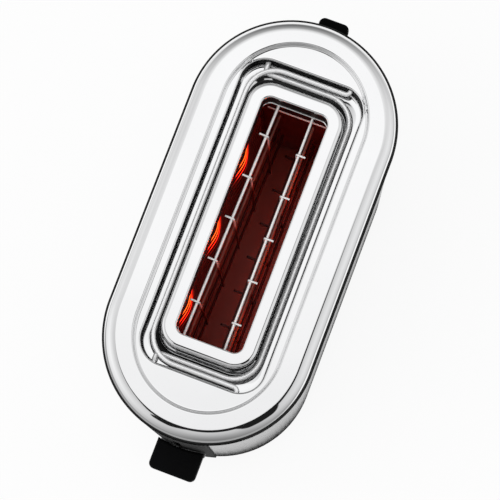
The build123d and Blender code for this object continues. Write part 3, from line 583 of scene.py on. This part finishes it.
# Pressed top cover, from the CAD cover's own outline inwards: shoulder, ring, sunk deck, and the
# well that the bails lie in, open in the middle under the collar.
coverLow, coverHigh = boxOf("top_cover")
collarLow, collarHigh = boxOf("slot_collar")
slotY = (collarLow.y + collarHigh.y) / 2
slotForm = {"halfWidth": 19.2, "halfLength": 70.0, "corner": 5.0, "y": slotY}
cover = {
    "sheet": 1.0, "shoulder": 8.0, "shoulderSteps": 14, "lip": 4.0,
    "ringSide": 18.1, "ringFront": 17.0, "ringRear": 15.0,
    "deckDrop": 2.5, "stepRound": 1.1, "deckSide": 5.5,
    "wellCorner": 14.5, "wellEnd": 11.4, "wellDepth": 11.5, "wellRound": 1.0, "floorRound": 1.2,
    "opening": 1.3, "support": 0.25, "steps": 30,
    "paintedShadeFrom": 174.5, "paintedShadeTo": 184.8, "paintedShadeReach": 36.0,
}
coverTop = coverHigh.z
deckZ = coverTop - cover["deckDrop"]
wellFloor = deckZ - cover["wellDepth"]


def coverRim():
    return {"halfWidth": coverHigh.x, "halfLength": coverHigh.y, "corner": coverHigh.x, "y": 0.0,
            "steps": cover["steps"]}


def coverRecess():
    halfWidth = coverHigh.x - cover["ringSide"]
    return {"halfWidth": halfWidth, "corner": halfWidth, "steps": cover["steps"],
            "halfLength": coverHigh.y - (cover["ringFront"] + cover["ringRear"]) / 2,
            "y": (cover["ringFront"] - cover["ringRear"]) / 2}


def coverWell():
    return {"halfWidth": coverHigh.x - cover["ringSide"] - cover["deckSide"], "corner": cover["wellCorner"],
            "halfLength": (collarHigh.y - collarLow.y) / 2 + cover["wellEnd"], "y": slotY,
            "steps": cover["steps"]}


def coverStations():
    rim, recess, well = coverRim(), coverRecess(), coverWell()
    opening = {**slotForm, "steps": cover["steps"]}
    shoulder, step, edge, base, near = (
        cover[key] for key in ("shoulder", "stepRound", "wellRound", "floorRound", "support"))
    hollow = cover["deckDrop"] - step
    stations = [(rim, 0.0, coverTop - shoulder - cover["lip"]), (rim, 0.0, coverTop - shoulder - near)]
    stations += roundOver(rim, shoulder, coverTop - shoulder, shoulder, 0, 90, cover["shoulderSteps"])
    stations += [(rim, shoulder + near, coverTop), (recess, -step - near, coverTop)]
    stations += turnedDown(recess, coverTop, step) + turnedIn(recess, deckZ, hollow)
    stations += [(recess, hollow + near, deckZ), (well, -edge - near, deckZ)]
    stations += turnedDown(well, deckZ, edge)
    stations += [(well, 0.0, deckZ - edge - near), (well, 0.0, wellFloor + base + near)]
    stations += turnedIn(well, wellFloor, base)
    stations += [(well, base + near, wellFloor), (opening, -cover["opening"], wellFloor)]
    return stations


topCover = finishPiece(ringSheet(coverStations()), "topCover", "housing", "chrome", "top_cover")
paintShadeOnWalls(topCover, cover)
thicken(topCover, cover["sheet"])
print("cover made")

# Raised frame round the slot: outer wall, flat top and the flange turned down into the slot. The
# flange's lower edge is folded back in a hem, which shows at the slot's ends only.
collar = {"sheet": 1.0, "corner": 13.5, "outerRound": 2.4, "outerSteps": 9, "slotRound": 1.0,
          "hem": 0.7, "hemSteps": 9, "support": 0.25, "steps": 20,
          "paintedShadeFrom": 176.5, "paintedShadeTo": 185.0, "paintedShadeReach": 28.0}


def collarStations():
    outer = {"halfWidth": collarHigh.x, "halfLength": (collarHigh.y - collarLow.y) / 2,
             "corner": collar["corner"], "y": slotY, "steps": collar["steps"]}
    inner = {**slotForm, "steps": collar["steps"]}
    top, low = collarHigh.z, collarLow.z
    outerEdge, slotEdge, hem, near = (collar[key] for key in ("outerRound", "slotRound", "hem", "support"))
    stations = [(outer, 0.0, wellFloor), (outer, 0.0, collar["paintedShadeFrom"])]
    stations += [(outer, 0.0, top - outerEdge - near)]
    stations += roundOver(outer, outerEdge, top - outerEdge, outerEdge, 0, 90, collar["outerSteps"])
    stations += [(outer, outerEdge + near, top), (inner, -slotEdge - near, top)]
    stations += turnedDown(inner, top, slotEdge)
    stations += [(inner, 0.0, top - slotEdge - near), (inner, 0.0, low + 2 * hem + near)]
    for number in range(collar["hemSteps"] + 1):
        turn = math.pi * number / collar["hemSteps"]
        drawnIn = {**inner, "halfLength": inner["halfLength"] - hem * math.sin(turn)}
        stations.append((drawnIn, 0.0, low + hem + hem * math.cos(turn)))
    return stations


slotCollar = finishPiece(ringSheet(collarStations()), "slotCollar", "housing", "chrome", "slot_collar")
paintShadeOnWalls(slotCollar, collar)
thicken(slotCollar, collar["sheet"])
print("collar made")

# Wire guards: long wires in one plane, and uprights that hook outwards over the top one.
guard = {"wire": 1.6, "upright": 1.2, "rows": (136.0, 100.0), "low": 60.0, "top": 169.0, "rowEnd": 4.0,
         "endGap": 0.1, "weld": 0.15, "foot": 3.0, "hooks": 5, "pitch": 25.2, "reach": 4.0, "bend": 1.2}
guardSides = {"left": {"side": -1, "x": -13.0, "skew": -1.5, "shift": 1.1},
              "right": {"side": 1, "x": 9.3, "skew": 0.0, "shift": -2.9}}


def makeGuard(name, form):
    low, high = boxOf(name + "_guard")
    middle = (low.y + high.y) / 2
    half = (high.y - low.y) / 2 - guard["endGap"]
    place = Matrix.Translation((form["x"], middle, 0)) @ Matrix.Rotation(math.radians(form["skew"]), 4, "Z")
    bm = bmesh.new()
    for z in (guard["top"], *guard["rows"], guard["low"]):
        reach = half - (2 * guard["rowEnd"] if z in guard["rows"] else 0)
        addWire(bm, [(0, -reach, z), (0, reach, z)], [], guard["wire"], place)
    apart = (guard["wire"] + guard["upright"]) / 2 - guard["weld"]
    x, hookZ = -form["side"] * apart, guard["top"] + apart
    for number in range(guard["hooks"]):
        y = form["shift"] + (number - (guard["hooks"] - 1) / 2) * guard["pitch"]
        foot, shoulder = (x, y, guard["low"] - guard["foot"]), (x, y, hookZ)
        tip = (form["side"] * guard["reach"], y, hookZ)
        addWire(bm, [foot, shoulder, tip], [guard["bend"]], guard["upright"], place)
    finishPiece(bm, name + "Guard", name + "_guard_body", "bright_wire", name + "_guard")


for name, form in guardSides.items():
    makeGuard(name, form)
print("guards made")

# Bun rack bails: each one wire, from its front pin round the rail to its rear pin.
bail = {"wire": 2.8, "pivot": 24.4, "rail": 30.4, "pinCorner": 2.5}
bailSides = {"left": {"side": -1, "span": 87.0, "z": 181.4, "corner": 17.0},
             "right": {"side": 1, "span": 83.6, "z": 178.2, "corner": 15.5}}


def makeBail(name, form):
    low, high = boxOf(name + "_bail")
    rail, pivot, z = form["side"] * bail["rail"], -form["side"] * bail["pivot"], form["z"]
    front, rear = slotY - form["span"], slotY + form["span"]
    points = [(pivot, low.y, z), (pivot, front, z), (rail, front, z), (rail, rear, z), (pivot, rear, z),
              (pivot, high.y, z)]
    radii = (bail["pinCorner"], form["corner"], form["corner"], bail["pinCorner"])
    bm = bmesh.new()
    addWire(bm, points, radii, bail["wire"])
    finishPiece(bm, name + "Bail", name + "_bail_arm", "bright_wire", name + "_bail", bailWire)


for name, form in bailSides.items():
    makeBail(name, form)
print("bails made")

# Every CAD node keeps its own shape and takes its own finish or that of its slot.
for name, node in frame["nodes"].items():
    for row in node.material_slots:
        row.material = ownFinish.get(name, finishes[nodeSlot[name]])
print("CAD nodes finished")


# Room, lamp and camera. Lengths of the floor's and lamp's values are in metres.
room = {
    "floorSize": 8.0, "floorColour": (0.86, 0.86, 0.86), "whiteShare": 0.9,
    "contact": (0.0006, 0.0013), "contactNear": 0.0009, "contactRight": 0.0008, "contactLevel": 0.02,
    "nearEnd": (0.05, 0.09), "shadeReach": 0.12, "shadeLevel": 0.66,
    "nearSide": (0.2, 0.5), "nearLevel": 0.36,
    "lampPlace": (-0.25, -0.3, 1.7), "lampAim": (0, 0, 0.1), "lampPower": 16.0, "lampSize": 1.4,
}


def stagePiece(bm, name, materialName):
    # A stage piece that isn't part of the object, and the empty tree of its material.
    mesh = bpy.data.meshes.new(name)
    bm.to_mesh(mesh)
    bm.free()
    holder = bpy.data.objects.new(name, mesh)
    bpy.context.scene.collection.objects.link(holder)
    material, tree = newMaterial(materialName)
    mesh.materials.append(material)
    return holder, tree


def makeFloor():
    # White to the camera. In reflections it is also white, but for a painted contact shadow where the base
    # meets it, painted shade round that, and a painted dimmer stretch well in front of the object.
    bm = bmesh.new()
    bmesh.ops.create_grid(bm, x_segments=1, y_segments=1, size=room["floorSize"] / 2)
    _, tree = stagePiece(bm, "floor", "paleFloor")
    cameraRay, glossyRay, transmissionRay = (
        tree.add("ShaderNodeLightPath", output=name)
        for name in ("Is Camera Ray", "Is Glossy Ray", "Is Transmission Ray"))
    _, (x, y, _) = tree.axes()
    halfWidth = coverHigh.x * millimetre
    beyond = tree.most(tree.size(y) - (coverHigh.y * millimetre - halfWidth), 0.0)
    away = (x * x + beyond * beyond) ** 0.5 - halfWidth
    nearEnd = tree.between(-y, *room["nearEnd"])
    rightward = tree.between(x, 0.0, halfWidth) * room["contactRight"]
    contact = 1.0 - tree.between(away - (rightward + room["contactNear"]) * nearEnd, *room["contact"])
    shade = 1.0 - tree.between(away, 0.0, room["shadeReach"])
    nearSide = tree.between(-y, *room["nearSide"])
    clear = tree.mixColour(glossyRay * nearSide, grey(1.0), grey(room["nearLevel"]))
    shaded = tree.mixColour(glossyRay * shade, clear, grey(room["shadeLevel"]))
    level = tree.mixColour(glossyRay * contact, shaded, grey(room["contactLevel"]))
    matt = tree.add("ShaderNodeBsdfDiffuse", {}, {"Color": (*room["floorColour"], 1.0)})
    white = tree.add("ShaderNodeEmission", {}, {"Color": level, "Strength": 1.0})
    seen = tree.least(cameraRay + transmissionRay + glossyRay, 1.0)
    share = tree.least(seen * room["whiteShare"] + glossyRay * (1.0 - room["whiteShare"]), 1.0)
    mixed = tree.add("ShaderNodeMixShader", {}, {0: share, 1: matt, 2: white})
    tree.add("ShaderNodeOutputMaterial", {}, {"Surface": mixed})


# A black card round the body, just under the cover's shoulder, that only reflections see: it
# draws the dark line round the top. Its gaps and reach are measured from the cover's outline.
card = {"height": 170.0, "near": 1.2, "far": -1.0, "reach": 42.0, "farther": 10.0, "level": 0.02}


def makeCard():
    rim = coverRim()
    offset = (card["near"] - card["far"]) / 2
    inner = {**rim, "halfLength": rim["halfLength"] + offset, "y": -offset}
    outer = {**rim, "y": card["farther"]}
    bm = ringSheet([(inner, -card["far"], card["height"]), (outer, -card["reach"], card["height"])])
    bmesh.ops.scale(bm, vec=(millimetre,) * 3, verts=bm.verts)
    holder, tree = stagePiece(bm, "blackCard", "cardBlack")
    dull = tree.add("ShaderNodeEmission", {}, {"Color": grey(card["level"]), "Strength": 1.0})
    tree.add("ShaderNodeOutputMaterial", {}, {"Surface": dull})
    holder.visible_camera = False
    holder.visible_diffuse = False
    holder.visible_shadow = False
    holder.visible_transmission = False


# The room as the polished metal sees it: a white ceiling light, the dark gap round its edge with
# two wider patches, and paler walls beyond. The light's middle and half sizes and the gap's
# widths are slopes from straight up, in a frame turned like the camera. A patch is its bearing
# and half width in degrees, and how much it widens the gap. A wall's levels go by its height.
tent = {
    "turn": 20.3, "lightMiddle": (-0.018, 0.155), "lightHalf": (0.112, 0.185), "lightEdge": 0.015,
    "lightNear": 0.83, "lightFade": (-0.02, 0.16),
    "gapRight": 0.14, "gapLeft": 0.05, "gapFar": 0.0, "gapNear": 0.26, "gapSoft": 1.2, "gapEdge": 0.02,
    "gapDark": 0.98, "patches": [(33.0, 20.0, 0.50), (-38.0, 14.0, 0.25)], "patchCore": 0.4,
    "farSide": (0.2, 0.6), "lowestRise": 0.03, "smallest": 0.001, "blue": 1.005,
    "wallRight": [(0.0, 0.45), (0.2, 0.7), (0.6, 0.85), (0.85, 0.75), (1.0, 0.6)],
    "wallLeft": [(0.0, 0.35), (0.1, 0.85), (0.6, 0.97), (0.85, 0.78), (1.0, 0.55)],
    "wallFar": [(0.0, 0.95), (0.13, 0.9), (0.24, 0.2), (0.45, 0.16), (0.75, 0.38), (0.93, 0.9), (1.0, 1.0)],
    "wallNear": [(0.0, 0.20), (0.3, 0.26), (0.6, 0.38), (0.85, 0.55), (1.0, 0.65)],
}


def makeWorld():
    world = bpy.data.worlds.new("tent")
    bpy.context.scene.world = world
    tree = NodeTree(world)
    place = tree.add("ShaderNodeTexCoord", output="Generated")
    east, north, z = (tree.add("ShaderNodeSeparateXYZ", {}, {0: place}, axis) for axis in range(3))
    turnCos, turnSin = math.cos(math.radians(tent["turn"])), math.sin(math.radians(tent["turn"]))
    x = east * turnCos + north * turnSin
    y = north * turnCos - east * turnSin
    rise = tree.most(z, tent["lowestRise"])
    flat = tree.most((x * x + y * y) ** 0.5, tent["smallest"])
    across, along = x / flat, y / flat
    towards = {"Right": across, "Left": -across, "Far": along, "Near": -along}
    wall, gap = 0.0, 0.0
    for side, facing in towards.items():
        weight = tree.most(facing, 0.0) ** 2.0
        levels = tree.ramp(z, [(height, (level,) * 3) for height, level in tent["wall" + side]])
        wall = tree.add("ShaderNodeSeparateColor", {}, {0: levels}) * weight + wall
        gap = weight * tent["gap" + side] + gap
    bearing = tree.add("ShaderNodeMath", {"operation": "ARCTAN2"}, {0: x, 1: -y})
    for middle, half, width in tent["patches"]:
        away = tree.size(bearing - math.radians(middle))
        core = math.radians(half) * tent["patchCore"]
        gap = (1.0 - tree.between(away, core, math.radians(half))) * width + gap
    overX = tree.size(x / rise - tent["lightMiddle"][0]) - tent["lightHalf"][0]
    overY = tree.size(y / rise - tent["lightMiddle"][1]) - tent["lightHalf"][1]
    outside = tree.most(overX, overY)
    unlit = tree.between(outside, 0.0, tent["lightEdge"])
    inGap = 1.0 - tree.between(outside, gap, gap * tent["gapSoft"] + tent["gapEdge"])
    light = tree.between(y / rise, *tent["lightFade"]) * (1.0 - tent["lightNear"]) + tent["lightNear"]
    farSide = tree.between(along, *tent["farSide"])
    beyond = wall * (1.0 - inGap * (1.0 - farSide) * tent["gapDark"])
    level = (1.0 - unlit) * light + unlit * beyond
    tone = tree.add("ShaderNodeCombineXYZ", {}, {0: level, 1: level, 2: level * tent["blue"]})
    cameraRay = tree.add("ShaderNodeLightPath", output="Is Camera Ray")
    colour = tree.mixColour(cameraRay, tone, grey(1.0))
    background = tree.add("ShaderNodeBackground", {}, {"Color": colour, "Strength": 1.0})
    tree.add("ShaderNodeOutputWorld", {}, {"Surface": background})


def makeLamp():
    # A soft lamp for the plastic and the floor's shadow; the metal doesn't mirror it.
    lamp = bpy.data.lights.new("keyLamp", "AREA")
    lamp.energy = room["lampPower"]
    lamp.size = room["lampSize"]
    holder = bpy.data.objects.new("keyLamp", lamp)
    bpy.context.scene.collection.objects.link(holder)
    holder.location = room["lampPlace"]
    aim = Vector(room["lampPlace"]) - Vector(room["lampAim"])
    holder.rotation_euler = aim.to_track_quat("Z", "Y").to_euler()
    holder.visible_glossy = False


# The camera as fitted to the photograph: place in metres, turns in degrees about its own axes.
view = {"place": (0.079943, -0.151254, 1.287), "tiltX": -7.555, "tiltY": -3.456, "roll": -20.861,
        "sensor": 36.0, "lens": 146.255, "shiftX": -0.04123, "shiftY": -0.00973}


def makeCamera():
    data = bpy.data.cameras.new("camera")
    camera = bpy.data.objects.new("camera", data)
    bpy.context.scene.collection.objects.link(camera)
    roll, tiltX, tiltY = (Matrix.Rotation(math.radians(view[key]), 3, axis)
                          for key, axis in (("roll", "Z"), ("tiltX", "X"), ("tiltY", "Y")))
    turn = (roll @ tiltX @ tiltY).transposed().to_4x4()
    camera.matrix_world = Matrix.Translation(view["place"]) @ turn
    data.sensor_width = view["sensor"]
    data.lens = view["lens"]
    data.shift_x = view["shiftX"]
    data.shift_y = view["shiftY"]
    bpy.context.scene.camera = camera


makeFloor()
makeCard()
makeWorld()
makeLamp()
makeCamera()
bpy.context.scene.view_settings.view_transform = "Standard"
print("room made")
